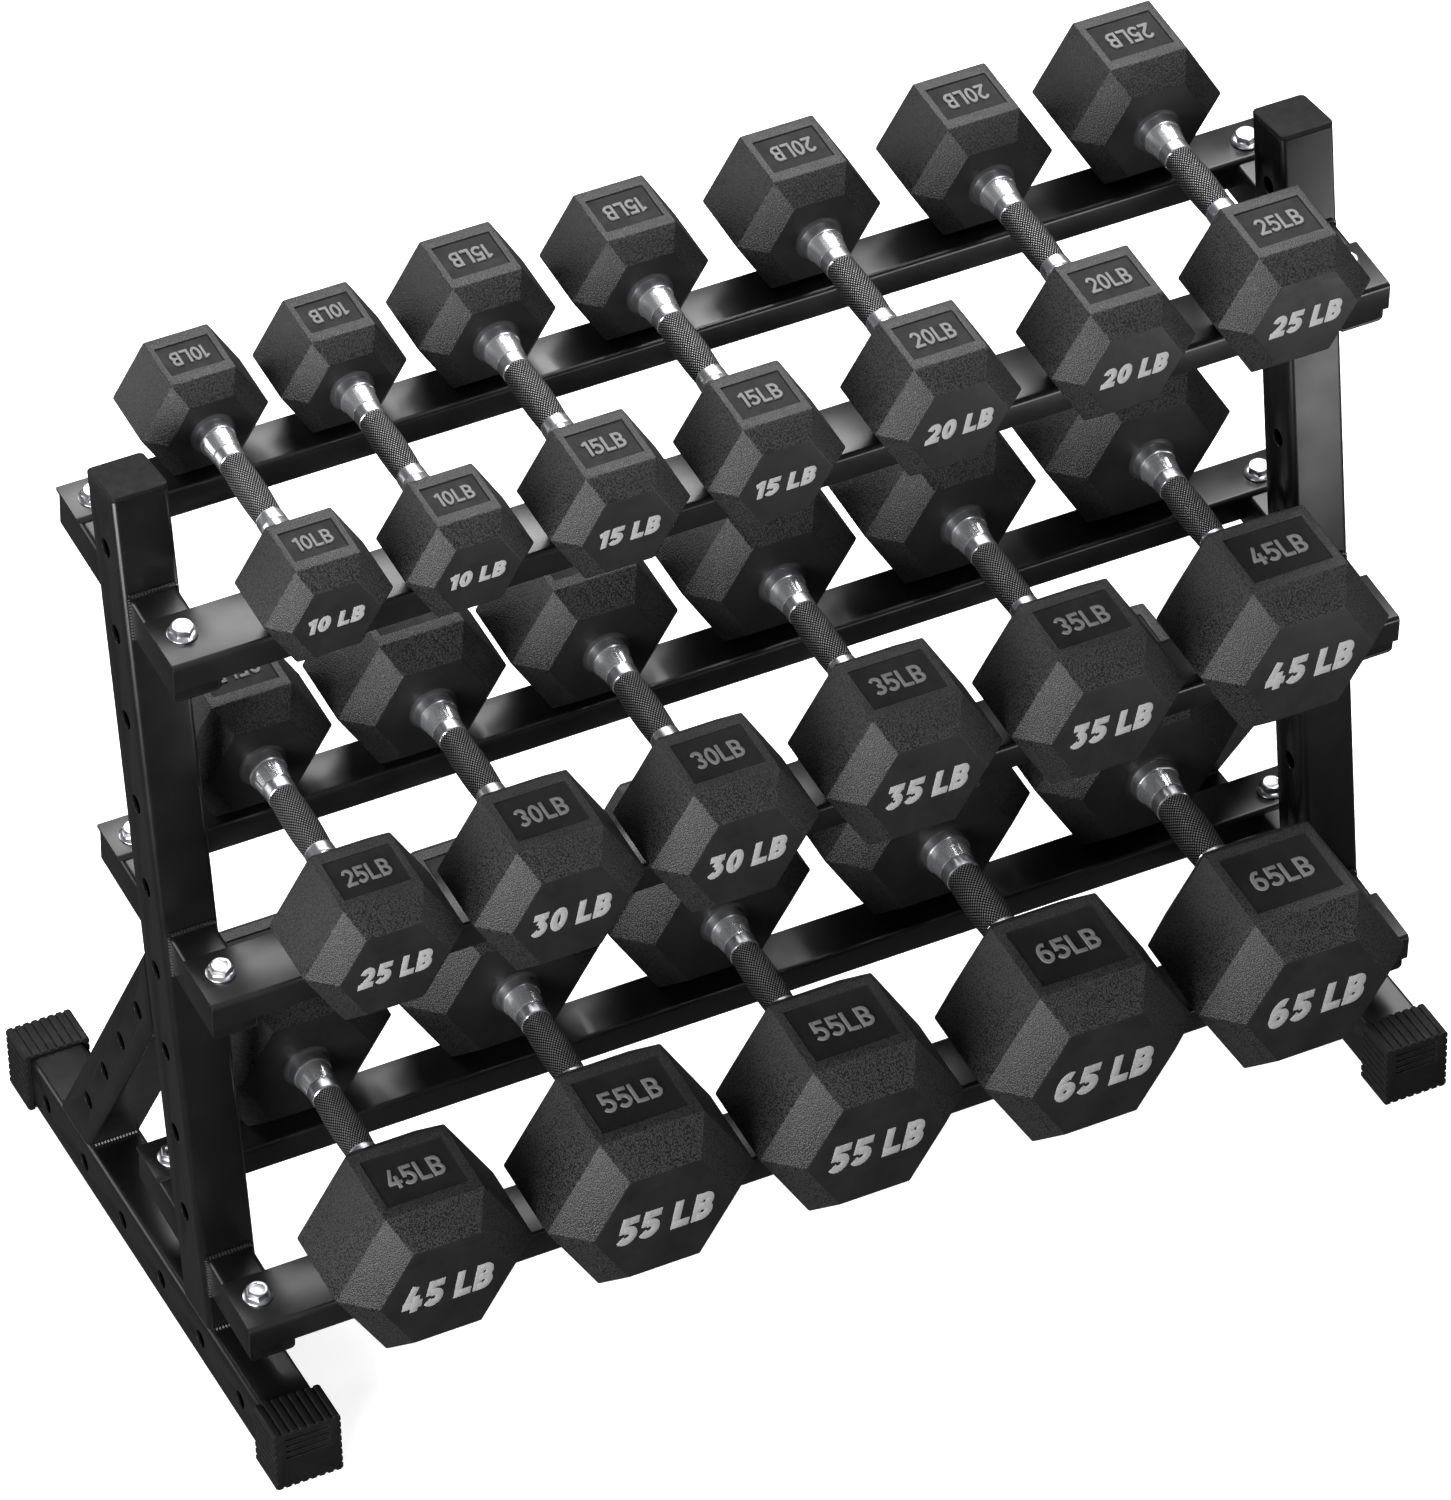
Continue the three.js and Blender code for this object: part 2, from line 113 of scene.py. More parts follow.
class Nodes:
    """Short words for building a material's node tree."""

    def __init__(self, name, colour, roughness, metallic=0.0, specular=0.5):
        self.material = bpy.data.materials.new(name)
        self.material.use_nodes = True
        self.material.diffuse_color = (*colour, 1)
        self.tree = self.material.node_tree
        self.shader = self.tree.nodes["Principled BSDF"]
        self.shader.inputs["Base Color"].default_value = (*colour, 1)
        self.shader.inputs["Roughness"].default_value = roughness
        self.shader.inputs["Metallic"].default_value = metallic
        self.shader.inputs["Specular IOR Level"].default_value = specular
        self.place = self.add("ShaderNodeTexCoord").outputs["Object"]

    def add(self, kind, inputs=None, **settings):
        node = self.tree.nodes.new(kind)
        for key, value in settings.items():
            setattr(node, key, value)
        for key, value in (inputs or {}).items():
            self.feed(node.inputs[key], value)
        return node

    def feed(self, socket, value):
        if isinstance(value, bpy.types.NodeSocket):
            self.tree.links.new(value, socket)
        else:
            socket.default_value = value

    def math(self, operation, *values):
        return self.add("ShaderNodeMath", dict(enumerate(values)), operation=operation).outputs[0]

    def noise(self, size, detail=2.0, roughness=0.5):
        """Noise whose features are about `size` millimetres across."""
        inputs = {"Vector": self.place, "Scale": 1 / (size * MM), "Detail": detail, "Roughness": roughness}
        return self.add("ShaderNodeTexNoise", inputs).outputs["Fac"]

    def cells(self, size):
        """Distance from the middle of the nearest cell, for cells of about `size` millimetres."""
        inputs = {"Vector": self.place, "Scale": 1 / (size * MM)}
        return self.add("ShaderNodeTexVoronoi", inputs, feature="F1").outputs["Distance"]

    def ramp(self, value, low, high, start, end):
        inputs = {"Value": value, "From Min": low, "From Max": high, "To Min": start, "To Max": end}
        return self.add("ShaderNodeMapRange", inputs).outputs["Result"]

    def blend(self, factor, first, second):
        mix = self.add("ShaderNodeMix", data_type="RGBA")
        self.feed(mix.inputs["Factor"], factor)
        self.feed(mix.inputs["A"], (*first, 1) if isinstance(first, tuple) else first)
        self.feed(mix.inputs["B"], (*second, 1) if isinstance(second, tuple) else second)
        return mix.outputs["Result"]

    def worn_edges(self, radius, strength):
        """0 on flat ground, up to `strength` on convex edges, broken up by noise."""
        rounded = self.add("ShaderNodeBevel", {"Radius": radius * MM}, samples=4).outputs["Normal"]
        flat = self.add("ShaderNodeNewGeometry").outputs["Normal"]
        facing = self.add("ShaderNodeVectorMath", {0: rounded, 1: flat}, operation="DOT_PRODUCT")
        edge = self.ramp(facing.outputs["Value"], 0.985, 0.90, 0.0, 1.0)
        patchy = self.ramp(self.noise(9, 4), 0.42, 0.62, 0.25, 1.0)
        return self.math("MULTIPLY", self.math("MULTIPLY", edge, patchy), strength)

    def colour(self, value):
        self.feed(self.shader.inputs["Base Color"], value)

    def roughness(self, value):
        self.feed(self.shader.inputs["Roughness"], value)

    def bump(self, height, distance, strength=1.0):
        """Adds relief of `distance` millimetres."""
        inputs = {"Height": height, "Distance": distance * MM, "Strength": strength}
        bump = self.add("ShaderNodeBump", inputs)
        before = self.shader.inputs["Normal"].links
        if before:
            self.tree.links.new(before[0].from_socket, bump.inputs["Normal"])
        self.tree.links.new(bump.outputs["Normal"], self.shader.inputs["Normal"])


def powder_coat(name, dark, light, roughness, specular, peel):
    """Satin powder coat: orange peel, faint cloudiness and slightly polished edges."""
    n = Nodes(name, dark, roughness, specular=specular)
    cloud = n.noise(60, 3)
    body = n.blend(n.ramp(cloud, 0.3, 0.7, 0, 1), dark, light)
    n.colour(n.blend(n.worn_edges(1.2, 0.2), body, (0.05, 0.05, 0.052)))
    n.roughness(n.ramp(n.noise(30, 4), 0.3, 0.7, roughness - 0.03, roughness + 0.05))
    n.bump(n.noise(1.1, 1), peel)
    return n.material


def moulded_plastic():
    """Matte black moulding with a fine spark-eroded grain and scuffed edges."""
    n = Nodes("moulded_plastic", (0.010, 0.010, 0.0105), 0.62, specular=0.12)
    body = n.blend(n.noise(25, 3), (0.007, 0.007, 0.0073), (0.014, 0.014, 0.0145))
    n.colour(n.blend(n.worn_edges(0.8, 0.6), body, (0.07, 0.07, 0.072)))
    n.roughness(n.ramp(n.noise(6, 4), 0.3, 0.7, 0.5, 0.72))
    n.bump(n.cells(0.9), 0.05, 0.6)
    return n.material


def pebbled_rubber():
    """Rubber with a moulded pebble grain a little over a millimetre across, coloured with painted shade in
    the valleys and painted highlight on the tops.
    """
    n = Nodes("pebbled_rubber", (0.016, 0.016, 0.017), 0.6, specular=0.35)
    pebble = n.ramp(n.cells(1.3), 0.25, 0.7, 1.0, 0.0)
    fine = n.noise(0.7, 2)
    # painted shade and highlight: the colour follows the pebble relief, near black in the valleys and light
    # on the tops
    body = n.blend(pebble, (0.0025, 0.0025, 0.0027), (0.040, 0.040, 0.041))
    cloud = n.ramp(n.noise(45, 3), 0.35, 0.65, 0.0, 0.2)
    body = n.blend(cloud, body, (0.026, 0.026, 0.027))
    n.colour(n.blend(n.worn_edges(1.5, 0.6), body, (0.08, 0.08, 0.083)))
    n.roughness(n.ramp(fine, 0.3, 0.7, 0.36, 0.54))
    n.bump(pebble, 0.19)
    return n.material


def smooth_rubber(name, specular):
    """Rubber with the faint unevenness of a polished mould."""
    n = Nodes(name, (0.013, 0.013, 0.0135), 0.5, specular=specular)
    body = n.blend(n.ramp(n.noise(30, 4), 0.3, 0.7, 0, 1), (0.010, 0.010, 0.0105), (0.017, 0.017, 0.0175))
    n.colour(n.blend(n.worn_edges(1.2, 0.6), body, (0.08, 0.08, 0.083)))
    n.roughness(n.ramp(n.noise(8, 4), 0.3, 0.7, 0.44, 0.58))
    n.bump(n.noise(0.8, 2), 0.03, 0.7)
    return n.material


def boss_rubber_painted_glow():
    """Smooth rubber, painted lighter close to the handle at the middle of the head: a painted glow of
    reflected light.
    """
    n = Nodes("boss_rubber_painted_glow", (0.03, 0.03, 0.031), 0.4, specular=0.4)
    split = n.add("ShaderNodeSeparateXYZ", {"Vector": n.place})
    squares = [n.math("POWER", split.outputs[axis], 2.0) for axis in "XZ"]
    radius = n.math("SQRT", n.math("ADD", *squares))
    near = n.math("POWER", n.ramp(radius, 0.026, 0.015, 0, 1), 2.0)
    # painted reflection: the colour grows lighter towards the handle, a glow standing in for light round the
    # collar
    n.colour(n.blend(near, (0.012, 0.012, 0.0125), (0.07, 0.07, 0.072)))
    n.roughness(n.ramp(near, 0, 1, 0.5, 0.33))
    n.bump(n.noise(0.9, 2), 0.01, 0.6)
    return n.material


def chrome(name, tint, roughness, metallic=1.0):
    """Polished plating with a little haze."""
    n = Nodes(name, tint, roughness, metallic=metallic)
    haze = n.ramp(n.noise(12, 4), 0.35, 0.7, 0, 1)
    n.colour(n.blend(haze, tint, tuple(0.88 * c for c in tint)))
    n.roughness(n.ramp(haze, 0, 1, roughness, roughness + 0.03))
    return n.material


def knurled_steel():
    """Diamond knurling round the handle's own Y axis, bright on its points, with painted shade that darkens
    its grooves to near black.
    """
    n = Nodes("knurled_steel", (0.05, 0.05, 0.052), 0.42, metallic=0.85)
    split = n.add("ShaderNodeSeparateXYZ", {"Vector": n.place})
    grooves = 32.0
    steepness = 0.7
    turn = n.math("MULTIPLY", n.math("ARCTAN2", split.outputs["Z"], split.outputs["X"]), grooves)
    climb = n.math("MULTIPLY", split.outputs["Y"], steepness * grooves / (12.2 * MM))
    helices = [n.math("MULTIPLY", n.math(way, turn, climb), 0.5) for way in ("ADD", "SUBTRACT")]
    diamond = n.math("MULTIPLY", *[n.math("ABSOLUTE", n.math("SINE", helix)) for helix in helices])
    point = n.ramp(diamond, 0.42, 0.92, 0, 1)
    # painted shade: the grooves of the knurl are coloured near black
    n.colour(n.blend(point, (0.006, 0.006, 0.0062), (0.38, 0.38, 0.385)))
    n.roughness(n.ramp(point, 0, 1, 0.55, 0.33))
    n.bump(diamond, 0.55)
    n.bump(n.noise(0.4, 2), 0.02, 0.5)
    return n.material


def label_paint(name, colour):
    """Thick matte paint, slightly uneven and worn."""
    n = Nodes(name, colour, 0.6, specular=0.3)
    worn = n.ramp(n.noise(1.4, 3), 0.25, 0.75, 0, 1)
    n.colour(n.blend(worn, tuple(0.82 * c for c in colour), tuple(1.1 * c for c in colour)))
    n.roughness(n.ramp(worn, 0, 1, 0.5, 0.7))
    n.bump(n.noise(0.6, 2), 0.03, 0.6)
    return n.material


FRAME_COAT = powder_coat("frame_powder_coat", (0.004, 0.004, 0.0042), (0.0065, 0.0065, 0.0067),
                         roughness=0.31, specular=0.5, peel=0.012)
RAIL_COAT = powder_coat("rail_powder_coat", (0.005, 0.005, 0.0052), (0.008, 0.008, 0.0083),
                        roughness=0.31, specular=0.7, peel=0.009)
MOULDED = moulded_plastic()
PEBBLED = pebbled_rubber()
SMOOTH = smooth_rubber("smooth_rubber", 0.3)
PANEL = smooth_rubber("panel_rubber", 0.1)
BOSS_PAINTED_GLOW = boss_rubber_painted_glow()
CHROME = chrome("handle_chrome", (0.64, 0.65, 0.67), 0.30, metallic=0.95)
BRIGHT_RING = chrome("bright_chrome", (0.90, 0.91, 0.93), 0.17, metallic=0.85)
ZINC = chrome("bright_zinc", (0.74, 0.75, 0.77), 0.28)
KNURL = knurled_steel()
END_LABEL = label_paint("end_label_paint", (0.37, 0.37, 0.37))
PANEL_LABEL = label_paint("panel_label_paint", (0.20, 0.20, 0.202))


# ---- Meshes -------------------------------------------------------------------------------------

def mesh_from(bm, materials):
    """Ends a bmesh as a mesh in metres, smooth wherever it bends gently."""
    bmesh.ops.recalc_face_normals(bm, faces=bm.faces)
    mesh = bpy.data.meshes.new("mesh")
    bm.to_mesh(mesh)
    bm.free()
    mesh.transform(Matrix.Scale(MM, 4))
    for material in materials:
        mesh.materials.append(material)
    return shaded(mesh)


def shaded(mesh, angle=radians(32)):
    mesh.shade_smooth()
    mesh.set_sharp_from_angle(angle=angle)
    return mesh


def through_modifiers(mesh, *modifiers):
    """The mesh after these modifiers, each given as (type, settings)."""
    thing = bpy.data.objects.new("work", mesh)
    scene.collection.objects.link(thing)
    for kind, settings in modifiers:
        modifier = thing.modifiers.new(kind, kind)
        for key, value in settings.items():
            setattr(modifier, key, value)
    result = bpy.data.meshes.new_from_object(thing.evaluated_get(bpy.context.evaluated_depsgraph_get()))
    bpy.data.objects.remove(thing)
    return shaded(result)


def bevel(width, segments=2, **settings):
    """Settings of a bevel modifier that rounds a mesh's sharp edges."""
    settings = {"limit_method": "ANGLE", "angle_limit": radians(50), "harden_normals": False, **settings}
    return "BEVEL", {"width": width * MM, "segments": segments, **settings}


def cut(mesh, cutters, operation="DIFFERENCE"):
    """Boolean of a mesh with other meshes, which are in the same place."""
    tools = []
    modifiers = []
    for cutter in cutters:
        tool = bpy.data.objects.new("cutter", cutter)
        scene.collection.objects.link(tool)
        tools.append(tool)
        modifiers.append(("BOOLEAN", {"object": tool, "operation": operation, "solver": "EXACT"}))
    bpy.context.view_layer.update()
    result = through_modifiers(mesh, *modifiers)
    for tool in tools:
        bpy.data.objects.remove(tool)
    return result


def ring(bm, points):
    return [bm.verts.new(p) for p in points]


def bridge(bm, first, second, material=0):
    """Quads between two closed rings with the same number of points."""
    count = len(first)
    for i in range(count):
        j = (i + 1) % count
        bm.faces.new((first[i], first[j], second[j], second[i])).material_index = material


def rounded_rectangle(width, depth, radius, steps=5):
    """Outline as (x, y) points, anticlockwise from the right."""
    points = []
    for quarter, (sx, sy) in enumerate(((1, 1), (-1, 1), (-1, -1), (1, -1))):
        for i in range(steps + 1):
            turn = (quarter + i / steps) * pi / 2
            points.append((sx * (width / 2 - radius) + radius * cos(turn),
                           sy * (depth / 2 - radius) + radius * sin(turn)))
    return points


def rod(radius, length, sections=40):
    """Round rod along X, centred on the origin."""
    bm = bmesh.new()
    ends = []
    for x in (-length / 2, length / 2):
        circle = [(x, radius * cos(2 * pi * i / sections), radius * sin(2 * pi * i / sections))
                  for i in range(sections)]
        ends.append(ring(bm, circle))
        bm.faces.new(ends[-1])
    bridge(bm, *ends)
    return mesh_from(bm, [])


def block(x, y, z, centre):
    """Plain box for cuts and lids."""
    bm = bmesh.new()
    bmesh.ops.create_cube(bm, size=1, matrix=Matrix.Translation(centre) @ Matrix.Diagonal((x, y, z, 1)))
    return mesh_from(bm, [])


def lathe(bm, profile, sections, materials=None):
    """Turns (radius, along) points round the Y axis, with one flat face at each end."""
    materials = materials or [0] * len(profile)
    turns = [2 * pi * i / sections for i in range(sections)]
    rings = []
    for radius, along in profile:
        rings.append(ring(bm, [(radius * cos(t), along, radius * sin(t)) for t in turns]))
    for first, second, material in zip(rings, rings[1:], materials):
        bridge(bm, first, second, material)
    for end in (rings[0], rings[-1]):
        bm.faces.new(end).material_index = materials[0]


def prism_along_x(outline, length):
    """Mesh in work between two copies of a (y, z) outline, centred on x = 0."""
    bm = bmesh.new()
    ends = []
    for x in (-length / 2, length / 2):
        ends.append(ring(bm, [(x, y, z) for y, z in outline]))
        bm.faces.new(ends[-1])
    bridge(bm, *ends)
    return bm


def joined(meshes, materials):
    """One mesh of several, whose faces keep their material numbers."""
    bm = bmesh.new()
    for mesh in meshes:
        bm.from_mesh(mesh)
    result = bpy.data.meshes.new("mesh")
    bm.to_mesh(result)
    bm.free()
    for material in materials:
        result.materials.append(material)
    return shaded(result)


def turn_x(angle, y=0.0, z=0.0, x=0.0):
    """Place of a piece tilted about X, its origin in millimetres."""
    return Matrix.Translation(Vector((x, y, z)) * MM) @ Matrix.Rotation(angle, 4, "X")


def add_piece(name, mesh, place, body, replaced=()):
    """Puts a mesh in the scene as a piece of this body, in the stead of these CAD nodes."""
    thing = bpy.data.objects.new(name, mesh)
    scene.collection.objects.link(thing)
    thing.matrix_world = place
    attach(thing, body)
    if replaced:
        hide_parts(*replaced)
    return thing


# ---- Tubes: drawn upright, with the width along X, the depth along Y and the length along Z ------

def end_line(point, direction, place):
    """A cut across a tube, given in the side view, as (offset, slope): z = offset + slope * y."""
    inward = place.inverted()
    start = inward @ (Vector((0, *point)) * MM) / MM
    heading = inward.to_3x3() @ Vector((0, *direction))
    slope = heading.z / heading.y
    return start.z - start.y * slope, slope


def hole_row(name):
    """Heights of the cross holes along a foot, upright or brace."""
    first, count = HOLES[name]
    return [first + HOLE_PITCH * i for i in range(count)]


def tube(section, low, high, holes=(), lid_at=None):
    """Hollow rounded tube between two cuts, with cross holes along X at these heights."""
    bm = bmesh.new()
    wall = section["wall"]
    inner_width = section["width"] - 2 * wall
    inner_depth = section["depth"] - 2 * wall
    outer = rounded_rectangle(section["width"], section["depth"], section["corner"])
    inner = rounded_rectangle(inner_width, inner_depth, section["corner"] - wall)
    rings = {}
    for key, outline in (("outer", outer), ("inner", inner)):
        for end, (offset, slope) in (("low", low), ("high", high)):
            rings[key, end] = ring(bm, [(x, y, offset + slope * y) for x, y in outline])
        bridge(bm, rings[key, "low"], rings[key, "high"])
    for end in ("low", "high"):
        bridge(bm, rings["outer", end], rings["inner", end])
    mesh = mesh_from(bm, [FRAME_COAT])
    cutters = []
    for height in holes:
        cutter = rod(HOLE_RADIUS, section["width"] + 4)
        cutter.transform(Matrix.Translation((0, 0, height * MM)))
        cutters.append(cutter)
    if cutters:
        mesh = cut(mesh, [joined(cutters, [])])
    if lid_at is not None:
        lid = block(inner_width + 0.4, inner_depth + 0.4, wall, (0, 0, lid_at))
        mesh = joined([mesh, lid], [FRAME_COAT])
    return through_modifiers(mesh, bevel(0.5, 2))


def weld_bead(path, radius=2.3, ripple=2.6):
    """Bead of weld metal along a line or loop of points, with the ripples of its passes."""
    bm = bmesh.new()
    sections = 8
    for start, end in zip(path, path[1:]):
        start, end = Vector(start), Vector(end)
        axis = (end - start).normalized()
        side = axis.orthogonal().normalized()
        other = axis.cross(side)
        length = (end - start).length
        steps = max(4, round(4 * length / ripple))
        rings = []
        for i in range(steps + 1):
            swell = radius * (1 + 0.13 * sin(i * pi / 2)) * (0.35 if i in (0, steps) else 1)
            centre = start + axis * (length * i / steps)
            rings.append(ring(bm, [
                centre + (side * cos(2 * pi * k / sections) + other * sin(2 * pi * k / sections)) * swell
                for k in range(sections)
            ]))
        for first, second in zip(rings, rings[1:]):
            bridge(bm, first, second)
        bm.faces.new(rings[0])
        bm.faces.new(rings[-1])
    return mesh_from(bm, [])


FOOT_PLACE = turn_x(-pi / 2, UPRIGHT_AT, FOOT_TOP - FRAME_TUBE["depth"] / 2)
UPRIGHT_PLACE = turn_x(-LEAN, UPRIGHT_AT, FOOT_TOP)
BRACE_PLACE = turn_x(BRACE_TILT, BRACE_AT, FOOT_TOP)


def sideways(place, x):
    """The same place, moved x millimetres along the shelves."""
    return Matrix.Translation((x * MM, 0, 0)) @ place


def cross_bead(y, z, width):
    """Bead across a tube's face."""
    return weld_bead([(-width / 2 + 3, y, z), (width / 2 - 3, y, z)])


def foot_mesh():
    """Foot tube, which ends just inside its two caps."""
    front = FRONT_TIP - UPRIGHT_AT + CAP["end_wall"] + FIT
    rear = REAR_TIP - UPRIGHT_AT - CAP["end_wall"] - FIT
    return tube(FRAME_TUBE, (front, 0), (rear, 0), hole_row("foot"))


def upright_mesh():
    """Leaning upright, cut level where it stands on the foot, with a weld bead in front and behind."""
    low = end_line((UPRIGHT_AT, FOOT_TOP + FIT), (1, 0), UPRIGHT_PLACE)
    high = (UPRIGHT_LENGTH - TOP_PLATE - FIT, 0)
    mesh = tube(FRAME_TUBE, low, high, hole_row("upright"))
    half = FRAME_TUBE["depth"] / 2
    beads = [cross_bead(side * (half + 0.4), low[0] + low[1] * side * half + 0.6, FRAME_TUBE["width"])
             for side in (-1, 1)]
    return joined([mesh, *beads], [FRAME_COAT])


def brace_mesh():
    """Diagonal brace, cut level at the foot and flush with the upright's rear face, with its weld beads."""
    back = Vector((cos(LEAN), -sin(LEAN)))
    face = Vector((UPRIGHT_AT, FOOT_TOP)) + back * (FRAME_TUBE["depth"] / 2 + FIT)
    low = end_line((BRACE_AT, FOOT_TOP + FIT), (1, 0), BRACE_PLACE)
    high = end_line(face, (sin(LEAN), cos(LEAN)), BRACE_PLACE)
    mesh = tube(BRACE_TUBE, low, high, hole_row("brace"))
    beads = []
    for side in (-1, 1):
        y = side * (BRACE_TUBE["depth"] / 2 + 0.3)
        beads.append(cross_bead(y, low[0] + low[1] * y + 0.8, BRACE_TUBE["width"]))
        beads.append(cross_bead(y, high[0] + high[1] * y - 0.8, BRACE_TUBE["width"]))
    return joined([mesh, *beads], [FRAME_COAT])


# ---- Caps ---------------------------------------------------------------------------------------

def grooved_outline(half, height, grooves=7, width=2.6, depth=1.5):
    """Cross-section of a foot cap, grooved on all four sides."""
    draft = 0.3
    corner = 2.0
    square = [Vector((-half, 0)), Vector((half, 0)), Vector((half, height)), Vector((-half, height))]
    points = []
    for start, end in zip(square, square[1:] + square[:1]):
        heading = (end - start).normalized()
        inward = Vector((-heading.y, heading.x)) * depth
        pitch = (end - start).length / (grooves + 1)
        points.append(start + heading * corner)
        for i in range(1, grooves + 1):
            near = start + heading * (i * pitch - width / 2)
            far = near + heading * width
            points += [near, near + inward + heading * draft, far + inward - heading * draft, far]
        points.append(end - heading * corner)
    return points


def foot_cap_mesh():
    """Grooved sleeve with a pocket for the tube and four short slots across its closed end."""
    outline = grooved_outline(CAP["half"], CAP["height"])
    bm = bmesh.new()
    ends = []
    for y in (0, CAP["length"]):
        ends.append(ring(bm, [(p.x, y, p.y) for p in outline]))
        bm.faces.new(ends[-1])
    bridge(bm, *ends)
    sleeve = mesh_from(bm, [MOULDED])
    pocket = block(FRAME_TUBE["width"] + 0.6, CAP["length"], FRAME_TUBE["depth"] + 0.6,
                   (0, CAP["end_wall"] + CAP["length"] / 2, FOOT_TOP - FRAME_TUBE["depth"] / 2))
    slots = [block(1.3 * CAP["half"], 5.0, 2.6, (0, 0, CAP["height"] - 8 - 6 * i)) for i in range(4)]
    mesh = cut(sleeve, [joined([pocket, *slots], [])])
    return through_modifiers(mesh, bevel(0.45, 2, angle_limit=radians(40)))


def top_cap_mesh():
    """Domed plate over the upright's end, with its plug."""
    width, depth = FRAME_TUBE["width"], FRAME_TUBE["depth"]
    layers = [(0, 0), (2.4, 0), (3.3, 0.35), (3.8, 1.1), (TOP_PLATE, 2.4)]  # height, inset
    bm = bmesh.new()
    rings = []
    for z, inset in layers:
        outline = rounded_rectangle(width - 2 * inset, depth - 2 * inset, FRAME_TUBE["corner"] - inset / 2)
        rings.append(ring(bm, [(x, y, z) for x, y in outline]))
    for first, second in zip(rings, rings[1:]):
        bridge(bm, first, second)
    bm.faces.new(rings[-1])
    recess = 2 * (FRAME_TUBE["wall"] + FIT)
    plug_outline = rounded_rectangle(width - recess, depth - recess, 2)
    plug_top = ring(bm, [(x, y, 0) for x, y in plug_outline])
    plug_bottom = ring(bm, [(x, y, -18) for x, y in plug_outline])
    bridge(bm, rings[0], plug_top)
    bridge(bm, plug_top, plug_bottom)
    bm.faces.new(plug_bottom)
    return through_modifiers(mesh_from(bm, [MOULDED]), bevel(0.3, 2))


# ---- Shelves: y runs up the slope from the upright's centre line, z square to it -----------------

def shelf_place(index):
    """Place of the lowest (0), middle (1) or top (2) shelf."""
    up = LOWEST_SHELF + index * SHELF_PITCH
    return turn_x(SLOPE, UPRIGHT_AT + up * sin(LEAN), FOOT_TOP + up * cos(LEAN))


def angle_outline(front_edge, width):
    """Cross-section of a rail as (y, z): a flat top flange, a bend and a flange that hangs down in front."""
    thickness, flange, radius = RAIL["thickness"], RAIL["flange"], RAIL["bend"]

    def bend(r, steps):
        turns = [pi / 2 * i / steps for i in range(steps + 1)]
        return [(front_edge + radius - r * sin(t), -radius + r * cos(t)) for t in turns]

    return [
        (front_edge + width, 0),
        *bend(radius, 8),
        (front_edge, -flange),
        (front_edge + thickness, -flange),
        *reversed(bend(radius - thickness, 4)),
        (front_edge + width, -thickness),
    ]


def rail_mesh(end):
    """A front or rear rail; the rear one's front flange is cut away where it crosses the arms."""
    width = RAIL[end]
    edge = SHELF_FRONT if end == "front" else SHELF_REAR - width
    mesh = mesh_from(prism_along_x(angle_outline(edge, width), RAIL["length"]), [RAIL_COAT])
    if end == "rear":
        cope = RAIL["length"] / 2 - SIDES["right"] + ARM_TUBE["width"] / 2 + FIT
        out = RAIL["length"] / 2 - cope / 2 + 0.5
        height = ARM_TOP - RAIL["flange"] / 2 + FIT
        size = (cope + 1, 2 * RAIL["bend"], RAIL["flange"])
        boxes = [block(*size, (side * out, edge, height)) for side in (-1, 1)]
        mesh = cut(mesh, [joined(boxes, [])])
    return through_modifiers(mesh, bevel(0.5, 2, angle_limit=radians(60)))


def upright_face(side):
    """The upright's front (-1) or rear (1) face as a sloping shelf sees it: a point and a heading."""
    tilt = LEAN + SLOPE
    reach = side * (FRAME_TUBE["depth"] / 2 + FIT)
    return (reach * cos(tilt), -reach * sin(tilt)), (sin(tilt), cos(tilt))


def arm_mesh(end):
    """Arm in its own frame: its length is +Z from the upright's centre line towards the rear."""
    place = turn_x(-pi / 2, 0, ARM_TOP - ARM_TUBE["depth"] / 2)
    front = end == "front"
    point, heading = upright_face(-1 if front else 1)
    at_upright = end_line(point, heading, place)
    tip = SHELF_FRONT + RAIL["bend"] + FIT if front else SHELF_REAR
    if front:
        mesh = tube(ARM_TUBE, (tip, 0), at_upright, lid_at=tip + 1.5)
    else:
        mesh = tube(ARM_TUBE, at_upright, (tip, 0))
    half_x, half_y = ARM_TUBE["width"] / 2, ARM_TUBE["depth"] / 2
    off = 0.8 if front else -0.8
    loop = [(sx * half_x, sy * half_y, at_upright[0] + at_upright[1] * sy * half_y - off)
            for sx, sy in ((-1, -1), (1, -1), (1, 1), (-1, 1), (-1, -1))]
    return joined([mesh, weld_bead(loop, radius=1.9)], [FRAME_COAT]), place


